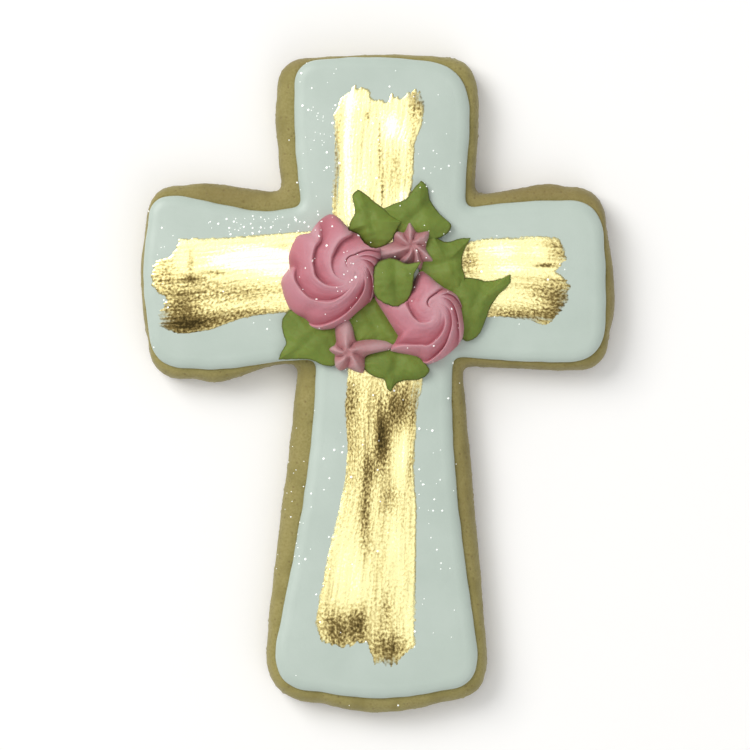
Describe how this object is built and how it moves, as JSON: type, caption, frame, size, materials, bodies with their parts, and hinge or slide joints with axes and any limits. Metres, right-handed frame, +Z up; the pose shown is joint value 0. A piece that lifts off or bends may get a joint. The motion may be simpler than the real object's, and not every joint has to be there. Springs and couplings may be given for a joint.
{
  "type": "cross-shaped sugar cookie",
  "caption": "Flat baked cookie cut as a cross, with smooth pale icing, brushed gold strokes and piped flowers and leaves at the crossing.",
  "frame": {"origin": "on the underside, at the middle of the outline's box", "axes": "+Y along the cookie's length, up the short top arm; +X across the arms; +Z up, out of the iced face"},
  "size_m": [0.0796, 0.1106, 0.0138],
  "materials": {
    "baked_dough": "matt, fine-crumbed baked dough, darker at the edges",
    "pale_icing": "smooth set icing with a soft satin sheen",
    "pink_icing": "matt piped icing, deeper pink in the grooves",
    "green_icing": "matt piped icing, darker at its edges",
    "gold_paint": "bright brushed metallic paint, gritty at the ends of the strokes",
    "clear_glitter": "fine sparkling flakes"
  },
  "bodies": {
    "root": {"cookie": "baked_dough", "icing": "pale_icing", "rosette_left": "pink_icing", "rosette_right": "pink_icing", "star_top": "pink_icing", "star_bottom": "pink_icing", "leaf_centre": "green_icing", "leaf_top_left": "green_icing", "leaf_top_right": "green_icing", "leaf_right_upper": "green_icing", "leaf_right_lower": "green_icing", "leaf_lower_centre": "green_icing", "leaf_bottom": "green_icing", "leaf_left_bottom": "green_icing"}
  },
  "joints": []
}
